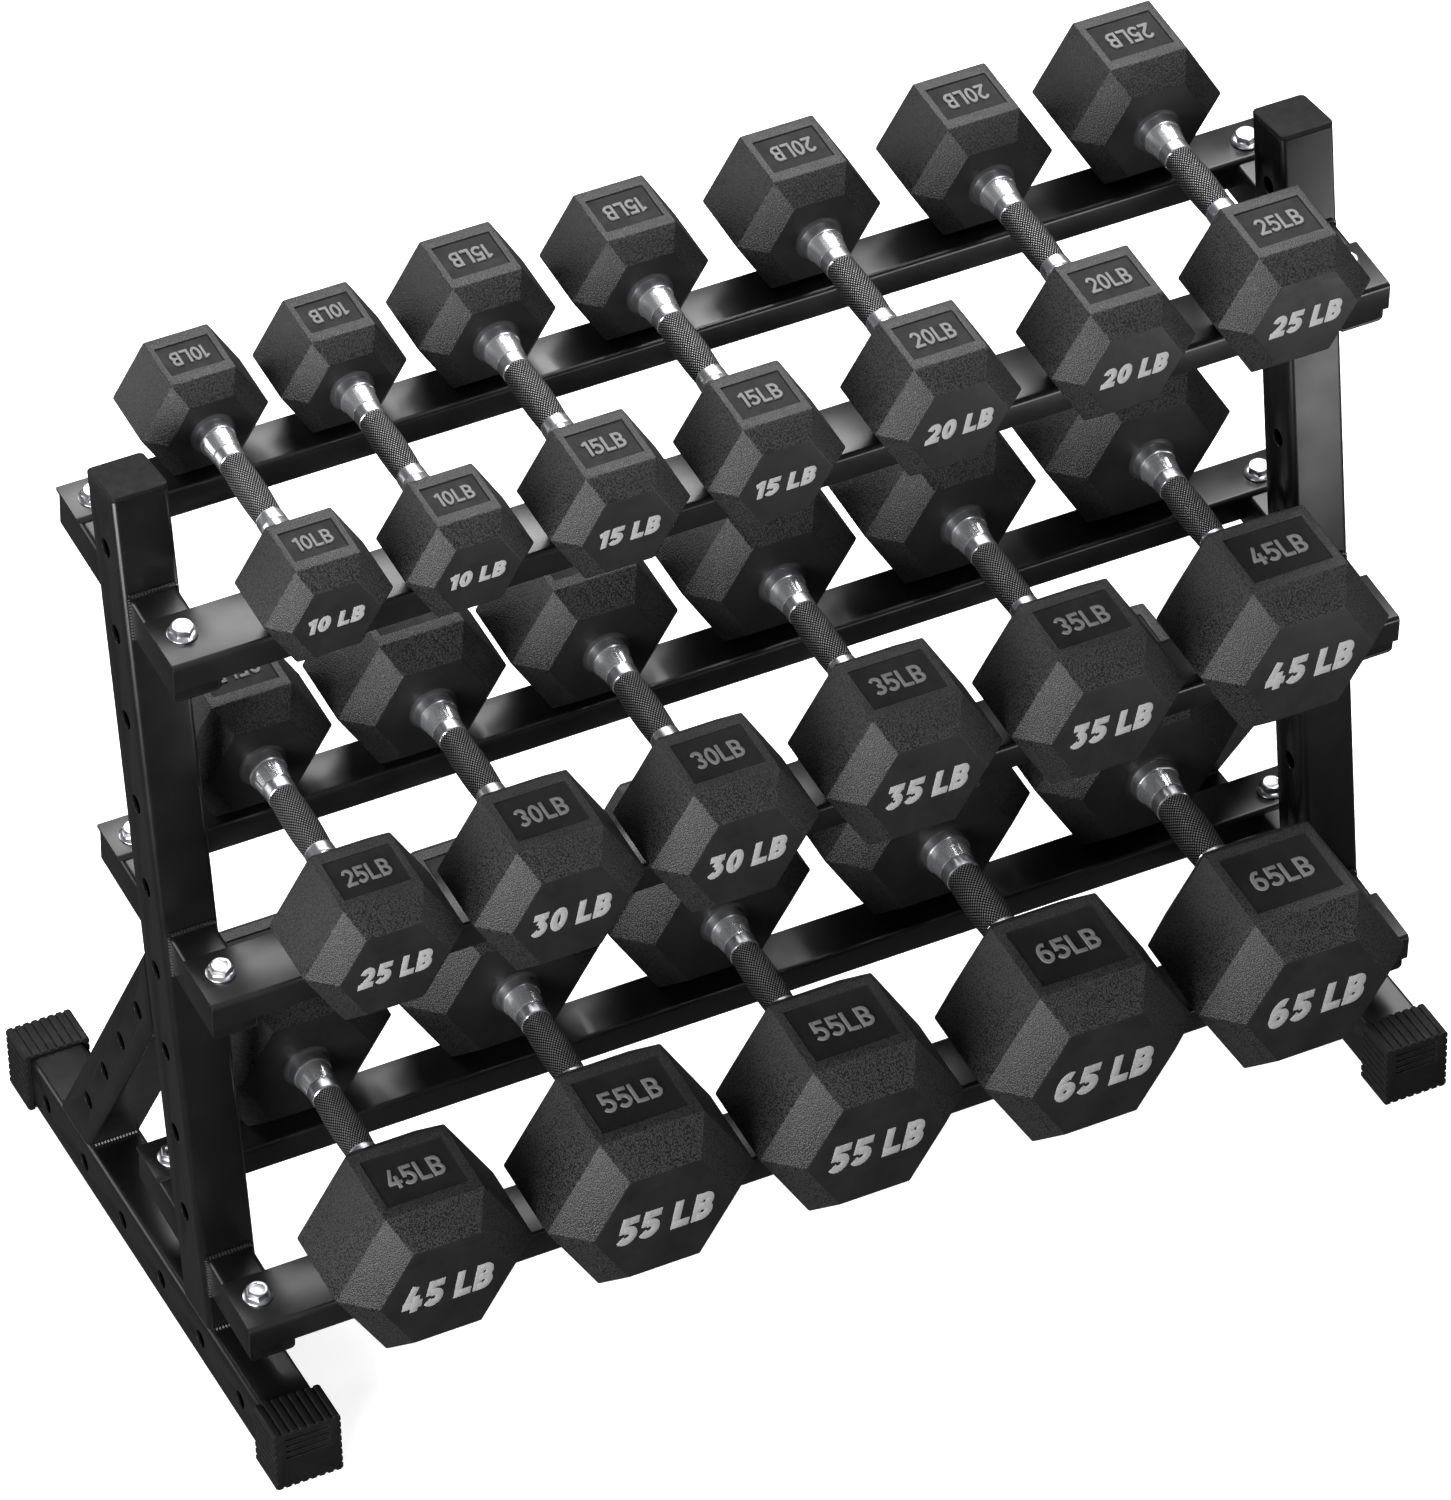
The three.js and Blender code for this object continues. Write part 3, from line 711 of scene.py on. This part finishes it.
def bolt_mesh():
    """Hex flange bolt with a chamfered, dished head, a ringed thread and its nut; up is +Z."""

    def hexagon(across_flats, low, high):
        bm = bmesh.new()
        radius = across_flats / sqrt(3)
        ends = [ring(bm, [(radius * cos(pi / 3 * i), y, radius * sin(pi / 3 * i)) for i in range(6)])
                for y in (low, high)]
        bridge(bm, *ends)
        bm.faces.new(ends[0])
        bm.faces.new(ends[1])
        return mesh_from(bm, [ZINC])

    def turned(profile):
        bm = bmesh.new()
        lathe(bm, profile, 64)
        return mesh_from(bm, [ZINC])

    head_turning = turned([(9.6, 0), (9.6, 7.1), (7.5, 8.5), (5.9, 8.7), (5.6, 8.1), (0.5, 8.1)])
    head = cut(hexagon(16, 1, 8.6), [head_turning], "INTERSECT")
    rim = [(11.3, 0.3), (11.5, 0.7), (11.5, 1.2), (11.1, 1.7)]
    flange = turned([(0.5, 0.3), *rim, (9.2, 2.7), (8.3, 3.2), (0.5, 3.2)])
    threads = [(4.3 if i % 2 else 4.9, -16.2 + 0.6 * i) for i in range(29)]
    shank = turned([(0.5, -16.4), (3.9, -16.4), *threads, (4.9, 1.4), (0.5, 1.4)])
    top = ARM_TOP - ARM_TUBE["wall"] - FIT
    nut_turning = turned([(0.5, top - 8.2), (8.0, top - 8.2), (9.9, top - 7), (9.9, top + 1), (0.5, top + 1)])
    nut = cut(hexagon(17, top - 8, top), [nut_turning], "INTERSECT")
    mesh = joined([head, flange, shank, nut], [ZINC])
    mesh.transform(Matrix.Rotation(pi / 2, 4, "X"))
    return through_modifiers(mesh, bevel(0.25, 2, angle_limit=radians(35)))


# ---- Dumbbells ----------------------------------------------------------------------------------

def head_mesh(across_flats, length):
    """Hex head lying along Y with its inner face at y = 0 and a recessed panel on its top flat."""
    chamfer = HEAD_CHAMFER * across_flats
    rim = across_flats / sqrt(3)
    face = (across_flats / 2 - chamfer) / cos(pi / 6)
    bm = bmesh.new()
    weight = bm.edges.layers.float.new("bevel_weight_edge")
    stations = [(face, 0), (rim, chamfer), (rim, length - chamfer), (face, length)]
    rings = [ring(bm, [(r * cos(pi / 3 * i), y, r * sin(pi / 3 * i)) for i in range(6)]) for r, y in stations]
    for stretch, (first, second) in enumerate(zip(rings, rings[1:])):
        for i in range(6):
            if stretch == 1 and i == 1:
                continue  # the top flat, below
            j = (i + 1) % 6
            bm.faces.new((first[i], second[i], second[j], first[j]))
    for end in (rings[0], rings[-1]):
        bm.faces.new(end).material_index = 1

    # The top flat: a pebbled border round a smooth panel that is sunk with a slight draft.
    top = across_flats / 2
    half_x = PANEL_WIDTH * rim / 2
    near, far = chamfer + PANEL_MARGIN, length - chamfer - PANEL_MARGIN
    lip = [Vector((half_x, near, top)), Vector((-half_x, near, top)),
           Vector((-half_x, far, top)), Vector((half_x, far, top))]
    outer = [rings[1][1], rings[1][2], rings[2][2], rings[2][1]]
    inner = ring(bm, lip)
    centre = sum(lip, Vector()) / 4
    floor = ring(bm, [centre + (p - centre) * 0.97 - Vector((0, 0, PANEL_DEPTH)) for p in lip])
    for i in range(4):
        j = (i + 1) % 4
        bm.faces.new((outer[i], outer[j], inner[j], inner[i]))
        bm.faces.new((inner[i], inner[j], floor[j], floor[i])).material_index = 2
    bm.faces.new(floor).material_index = 2
    small = set(inner) | set(floor)
    for edge in bm.edges:
        within = len(small.intersection(edge.verts))
        edge[weight] = 1.0 if within == 0 else (0.4 if within == 2 else 0.0)
    mesh = mesh_from(bm, [PEBBLED, SMOOTH, PANEL])
    return through_modifiers(mesh, bevel(0.8, 3, limit_method="WEIGHT"))


def straightened(outline, reach=0.3):
    """The outline with points added near the ends of its long stretches, so that they shade as straight."""
    points = []
    for (radius, y, material), (next_radius, next_y, _) in zip(outline, outline[1:]):
        points.append((radius, y, material))
        start, end = Vector((radius, y)), Vector((next_radius, next_y))
        share = reach / (end - start).length
        if share < 0.25:
            points += [(*start.lerp(end, part), material) for part in (share, 1 - share)]
    return [*points, outline[-1]]


def handle_mesh(grip_radius):
    """Turned handle: satin drum against a low rubber boss, polished cone, satin neck and knurled grip."""
    half = HEAD_GAP / 2
    steps = 8
    boss = [(15.7 + 9 * (1 - sin(t)), half + 0.2 - 1.0 * (1 - cos(t)))
            for t in (pi / 2 * i / steps for i in range(steps + 1))]
    outline = [  # radius, distance from the middle, material of the stretch that follows
        *((r, y, 3) for r, y in boss),
        (15.6, half - 1.0, 0),
        (15.5, half - 9.6, 0),
        (15.1, half - 10.4, 0),
        (14.5, half - 10.7, 1),
        (13.8, half - 16.0, 1),
        (12.2, half - 25.6, 1),
        (11.9, half - 26.4, 0),
        (12.1, half - 27.0, 0),
        (11.9, half - 35.7, 0),
        (11.7, half - 36.2, 1),
        (11.9, half - 36.7, 1),
        (11.4, half - 37.2, 2),
    ]
    grip_end = half - 37.5
    steps = 10
    swell = [(11.4 + 1.3 * sin(pi / 2 * i / steps), grip_end * (1 - i / steps), 2)
             for i in range(steps + 1)]
    one_side = [*straightened(outline), *swell]
    scale = grip_radius / swell[-1][0]
    near_side = [(radius * scale, -y) for radius, y, _ in one_side]
    far_side = [(radius * scale, y) for radius, y, _ in reversed(one_side[:-1])]
    stretches = [material for _, _, material in one_side[:-1]]
    bm = bmesh.new()
    lathe(bm, near_side + far_side, 56, [*stretches, *reversed(stretches)])
    return mesh_from(bm, [CHROME, BRIGHT_RING, KNURL, BOSS_PAINTED_GLOW])


def arc(x, y, rx, ry, start, end, steps=12):
    """Points of an elliptical arc between two angles in degrees."""
    turns = [radians(start + (end - start) * i / steps) for i in range(steps + 1)]
    return [(x + rx * cos(t), y + ry * sin(t)) for t in turns]


def letter_strokes(letter, weight):
    """A letter's width and the centre lines of its strokes, where capitals are 1 high."""
    half = weight / 2
    top, low = 1 - half, half
    wide = 0.5 + 0.6 * weight
    if letter == "0":
        return wide, [arc(wide / 2, 0.5, wide / 2 - half, top - 0.5, 0, 360, 32)]
    if letter == "1":
        stem = 0.16 + half
        return stem + half, [[(stem, 0), (stem, 1)], [(0, top - 0.12), (stem, top)]]
    if letter == "2":
        bowl = arc(wide / 2, top - 0.24, wide / 2 - half, 0.24, 165, -35)
        return wide, [[*bowl, (half, low)], [(0, low), (wide, low)]]
    if letter == "3" and weight > 0.2:
        bowl = arc(wide / 2 - 0.02, 0.33, wide / 2 - half, 0.33 - half, 100, -155)
        return wide, [[(0.02, top), (wide - 0.06, top)], [(wide - 0.2, top), (0.42 * wide, 0.5)], bowl]
    if letter == "3":
        reach = (top - 0.5) / 2
        upper = arc(wide / 2 - 0.02, top - reach, wide / 2 - half, reach, 155, -90)
        lower = arc(wide / 2, low + reach, wide / 2 - half, reach, 90, -155)
        return wide, [upper, lower]
    if letter == "4":
        wide += 0.04
        stem = wide - 0.12 - half
        return wide, [[(stem - 0.08, 1), (half, 0.31)], [(0, 0.29), (wide, 0.29)], [(stem, 0.62), (stem, 0)]]
    if letter == "5":
        bowl = arc(wide / 2 - 0.03, 0.34, wide / 2 - half + 0.03, 0.34 - half, 118, -150)
        return wide, [[(0.06, top), (wide - 0.03, top)], [(0.06 + half, 1), (0.03 + half, 0.44)], bowl]
    if letter == "6":
        back = arc(wide / 2 + 0.05, 0.5, wide / 2 - half + 0.05, 0.5 - half, 68, 205)
        return wide, [back, arc(wide / 2, 0.33, wide / 2 - half, 0.33 - half, 0, 360, 28)]
    if letter == "L":
        return wide - 0.06, [[(half, 1), (half, 0)], [(0, low), (wide - 0.06, low)]]
    if letter == "B":
        turn = wide / 2
        lobes = []
        for high, deep, reach in ((top, 0.5, wide - half - turn - 0.03), (0.5, low, wide - half - turn)):
            bend = arc(turn, (high + deep) / 2, reach, (high - deep) / 2, 90, -90)
            lobes.append([(half, high), *bend, (half, deep)])
        return wide, [[(half, 0), (half, 1)], *lobes]
    return 0.24, []


def stroke(bm, path, weight, low, high):
    """Flat bar of this weight along a centre line, with mitred corners."""
    points = [Vector(p) for p in path]
    closed = (points[0] - points[-1]).length < 1e-6
    if closed:
        points.pop()
    rings = []
    last = len(points) - 1
    for i, point in enumerate(points):
        before = (point - points[i - 1]).normalized() if i or closed else None
        after = (points[(i + 1) % len(points)] - point).normalized() if i < last or closed else None
        heading = ((before or after) + (after or before)).normalized()
        side = Vector((-heading.y, heading.x)) * weight / 2 / max(0.5, heading.dot(after or before))
        left, right = point + side, point - side
        rings.append(ring(bm, [(*left, low), (*right, low), (*right, high), (*left, high)]))
    for first, second in zip(rings, rings[1:]):
        bridge(bm, first, second)
    if closed:
        bridge(bm, rings[-1], rings[0])
    else:
        bm.faces.new(rings[0])
        bm.faces.new(rings[-1])


def text_mesh(text, cap_height, width, weight, slant, thickness, material):
    """Plain block lettering, lying in XY and centred on the origin."""
    bm = bmesh.new()
    start = 0.0
    lift = 0.0
    for letter in text:
        wide, paths = letter_strokes(letter, weight)
        for path in paths:
            lift += 0.01 * thickness / cap_height  # overlapping strokes stay in planes of their own
            stroke(bm, [(start + x, y) for x, y in path], weight, 0, thickness / cap_height + lift)
        start += wide + 0.09
    for vert in bm.verts:
        vert.co.x += slant * vert.co.y
    low = min(v.co.x for v in bm.verts)
    high = max(v.co.x for v in bm.verts)
    for vert in bm.verts:
        vert.co.x = (vert.co.x - (low + high) / 2) * width / (high - low)
        vert.co.y = (vert.co.y - 0.5) * cap_height
        vert.co.z *= cap_height
    return through_modifiers(mesh_from(bm, [material]), bevel(0.12 * thickness, 2, angle_limit=radians(70)))


def facing(across, up, out, at):
    """Matrix that stands XY lettering on a face: its baseline, its up and the face's outward direction."""
    turn = Matrix((across, up, out)).transposed().to_4x4()
    return Matrix.Translation(Vector(at) * MM) @ turn


def labels_mesh(pounds, across_flats, length):
    """Weight on the outer end and on the top panel of both heads, each readable from its own end."""
    chamfer = HEAD_CHAMFER * across_flats
    outer = HEAD_GAP / 2 + length
    centre = HEAD_GAP / 2 + length / 2
    end_height = min(0.187 * across_flats, 0.25 * across_flats - 8)
    end_width = (0.50 if pounds < 20 else 0.54) * across_flats  # a 1 is a narrow figure
    end_text = text_mesh(f"{pounds} LB", end_height, end_width, 0.27, 0.2, 0.3, END_LABEL)
    panel_width = PANEL_WIDTH * across_flats / sqrt(3)
    panel_length = length - 2 * chamfer - 2 * PANEL_MARGIN
    cap_height = min(0.46 * panel_length, 8 + 0.085 * across_flats)
    panel_text = text_mesh(f"{pounds}LB", cap_height, 0.68 * panel_width, 0.16, 0.0, 1.1, PANEL_LABEL)
    panel_height = across_flats / 2 - PANEL_DEPTH - 0.05
    upwards = Vector((0, 0, 1))
    parts = []
    for side in (-1, 1):
        across = Vector((-side, 0, 0))
        outwards = Vector((0, side, 0))
        end = end_text.copy()
        end.transform(facing(across, upwards, outwards, (0, side * outer, 0)))
        panel = panel_text.copy()
        panel.transform(facing(across, -outwards, upwards, (0, side * centre, panel_height)))
        for polygon in panel.polygons:
            polygon.material_index = 1
        parts += [end, panel]
    return joined(parts, [END_LABEL, PANEL_LABEL])


def heads_mesh(across_flats, length):
    """Both heads, HEAD_GAP apart, with their inner faces towards each other."""
    head = head_mesh(across_flats, length)
    rear = head.copy()
    rear.transform(Matrix.Translation((0, HEAD_GAP / 2 * MM, 0)))
    front = head.copy()
    front.transform(Matrix.Translation((0, -HEAD_GAP / 2 * MM, 0)) @ Matrix.Rotation(pi, 4, "Z"))
    return joined([rear, front], [PEBBLED, SMOOTH, PANEL])


# ---- Assembly -----------------------------------------------------------------------------------

def build_side_frames():
    pieces = [
        ("foot_tube", foot_mesh(), FOOT_PLACE),
        ("upright", upright_mesh(), UPRIGHT_PLACE),
        ("rear_brace", brace_mesh(), BRACE_PLACE),
    ]
    foot_cap = foot_cap_mesh()
    top_cap = top_cap_mesh()
    lid_place = UPRIGHT_PLACE @ Matrix.Translation((0, 0, (UPRIGHT_LENGTH - TOP_PLATE) * MM))
    for side, x in SIDES.items():
        for piece, mesh, place in pieces:
            node = f"{side}_{piece}"
            add_piece(f"{node}_look", mesh, sideways(place, x), "rack", [node])
        caps = [
            ("front_foot_cap", foot_cap, turn_x(0, FRONT_TIP)),
            ("rear_foot_cap", foot_cap, turn_x(0, REAR_TIP) @ Matrix.Rotation(pi, 4, "Z")),
            ("top_cap", top_cap, lid_place),
        ]
        for piece, mesh, place in caps:
            node = f"{side}_{piece}"
            add_piece(f"{node}_look", mesh, sideways(place, x), "rack", [node])


def build_shelves():
    bolt = bolt_mesh()
    for end in ("front", "rear"):
        rail = rail_mesh(end)
        arm, arm_place = arm_mesh(end)
        for index, shelf in enumerate(("bottom", "middle", "top")):
            place = shelf_place(index)
            node = f"{shelf}_{end}_rail"
            add_piece(f"{node}_look", rail, place, "rack", [node])
            for side, x in SIDES.items():
                node = f"{shelf}_{side}_{end}_arm"
                at = sideways(place @ arm_place, x)
                add_piece(f"{node}_look", arm, at, "rack", [node])
                node = f"{shelf}_{side}_{end}_bolt"
                turn = Matrix.Rotation(radians(17 * index + (11 if side == "left" else 41)), 4, "Z")
                at = sideways(place @ Matrix.Translation((0, BOLT_AT[end] * MM, 0)) @ turn, x)
                add_piece(f"{node}_look", bolt, at, "rack", [node])


def build_dumbbells():
    for pounds, (across_flats, length, grip_radius) in HEADS.items():
        handle = handle_mesh(grip_radius)
        heads = heads_mesh(across_flats, length)
        labels = labels_mesh(pounds, across_flats, length)
        for twin in "ab":
            node = f"dumbbell_{pounds}lb_{twin}"
            at = middle(node)
            place = turn_x(SLOPE, at.y, at.z, at.x)
            add_piece(f"{node}_heads", heads, place, node, [node])
            add_piece(f"{node}_handle", handle, place, node)
            add_piece(f"{node}_labels", labels, place, node)


build_side_frames()
build_shelves()
build_dumbbells()


# ---- Floor, light and camera --------------------------------------------------------------------

def pale_floor():
    """White floor, left out of reflections so that the black steel stays black."""
    bm = bmesh.new()
    half = 9000
    bm.faces.new(ring(bm, [(-half, -half, 0), (half, -half, 0), (half, half, 0), (-half, half, 0)]))
    n = Nodes("pale_floor", (0.92, 0.92, 0.92), 0.9, specular=0.0)
    n.shader.inputs["Emission Color"].default_value = (1, 1, 1, 1)
    n.shader.inputs["Emission Strength"].default_value = 0.8
    floor = bpy.data.objects.new("floor", mesh_from(bm, [n.material]))
    floor.visible_glossy = False
    floor.visible_diffuse = False
    scene.collection.objects.link(floor)


def softbox(name, centre, direction, distance, size, radiance):
    """Rectangular area light that looks at `centre` from `distance` away."""
    light = bpy.data.lights.new(name, "AREA")
    light.shape = "RECTANGLE"
    light.size, light.size_y = size
    light.energy = radiance * pi * size[0] * size[1]
    lamp = bpy.data.objects.new(name, light)
    scene.collection.objects.link(lamp)
    towards = Vector(direction).normalized()
    lamp.location = Vector(centre) + towards * distance
    lamp.rotation_euler = (-towards).to_track_quat("-Z", "Y").to_euler()
    lamp.visible_camera = False


def world_light(strength):
    """Even white light from all round."""
    world = bpy.data.worlds.new("studio")
    scene.world = world
    world.use_nodes = True
    background = world.node_tree.nodes["Background"]
    background.inputs["Color"].default_value = (1, 1, 1, 1)
    background.inputs["Strength"].default_value = strength


def camera(target, azimuth, elevation, roll, distance):
    """A long lens that looks at the target from this azimuth (0 is the front) and elevation, in degrees."""
    lens = bpy.data.cameras.new("camera")
    lens.lens = 233.181
    lens.sensor_width = 36
    lens.clip_start = 0.1
    lens.clip_end = 100
    eye = bpy.data.objects.new("camera", lens)
    scene.collection.objects.link(eye)
    turn = Matrix.Rotation(radians(azimuth), 4, "Z")
    tilt = Matrix.Rotation(radians(90 - elevation), 4, "X") @ Matrix.Rotation(radians(roll), 4, "Z")
    eye.matrix_world = Matrix.Translation(target) @ turn @ tilt @ Matrix.Translation((0, 0, distance))
    scene.camera = eye


pale_floor()
world_light(0.08)
RACK = (0, 0, 0.4)
softbox("key_left", RACK, (-0.85, -0.55, 0.16), 5.0, (3.7, 2.8), 14.0)
softbox("left_rim", RACK, (-0.72, 0.65, 0.12), 3.2, (2.0, 1.5), 2.6)
softbox("back_sheen", RACK, (0.30, 0.50, 0.80), 4.2, (4.8, 2.4), 6.0)
softbox("overhead", RACK, (-0.1, -0.2, 1.0), 4.0, (5.0, 5.0), 0.3)
softbox("strip", RACK, (0.327, 0.046, 0.93), 3.7, (6.0, 0.2), 20)
softbox("front_card", (1.9, -2.15, 1), (0, 0, -1), 0.98, (2.4, 2.4), 5.0)
camera((-0.02471, -0.03673, 0.4), azimuth=-25.1904, elevation=39.8677, roll=-1.2874, distance=7.34622)
scene.view_settings.view_transform = "Standard"
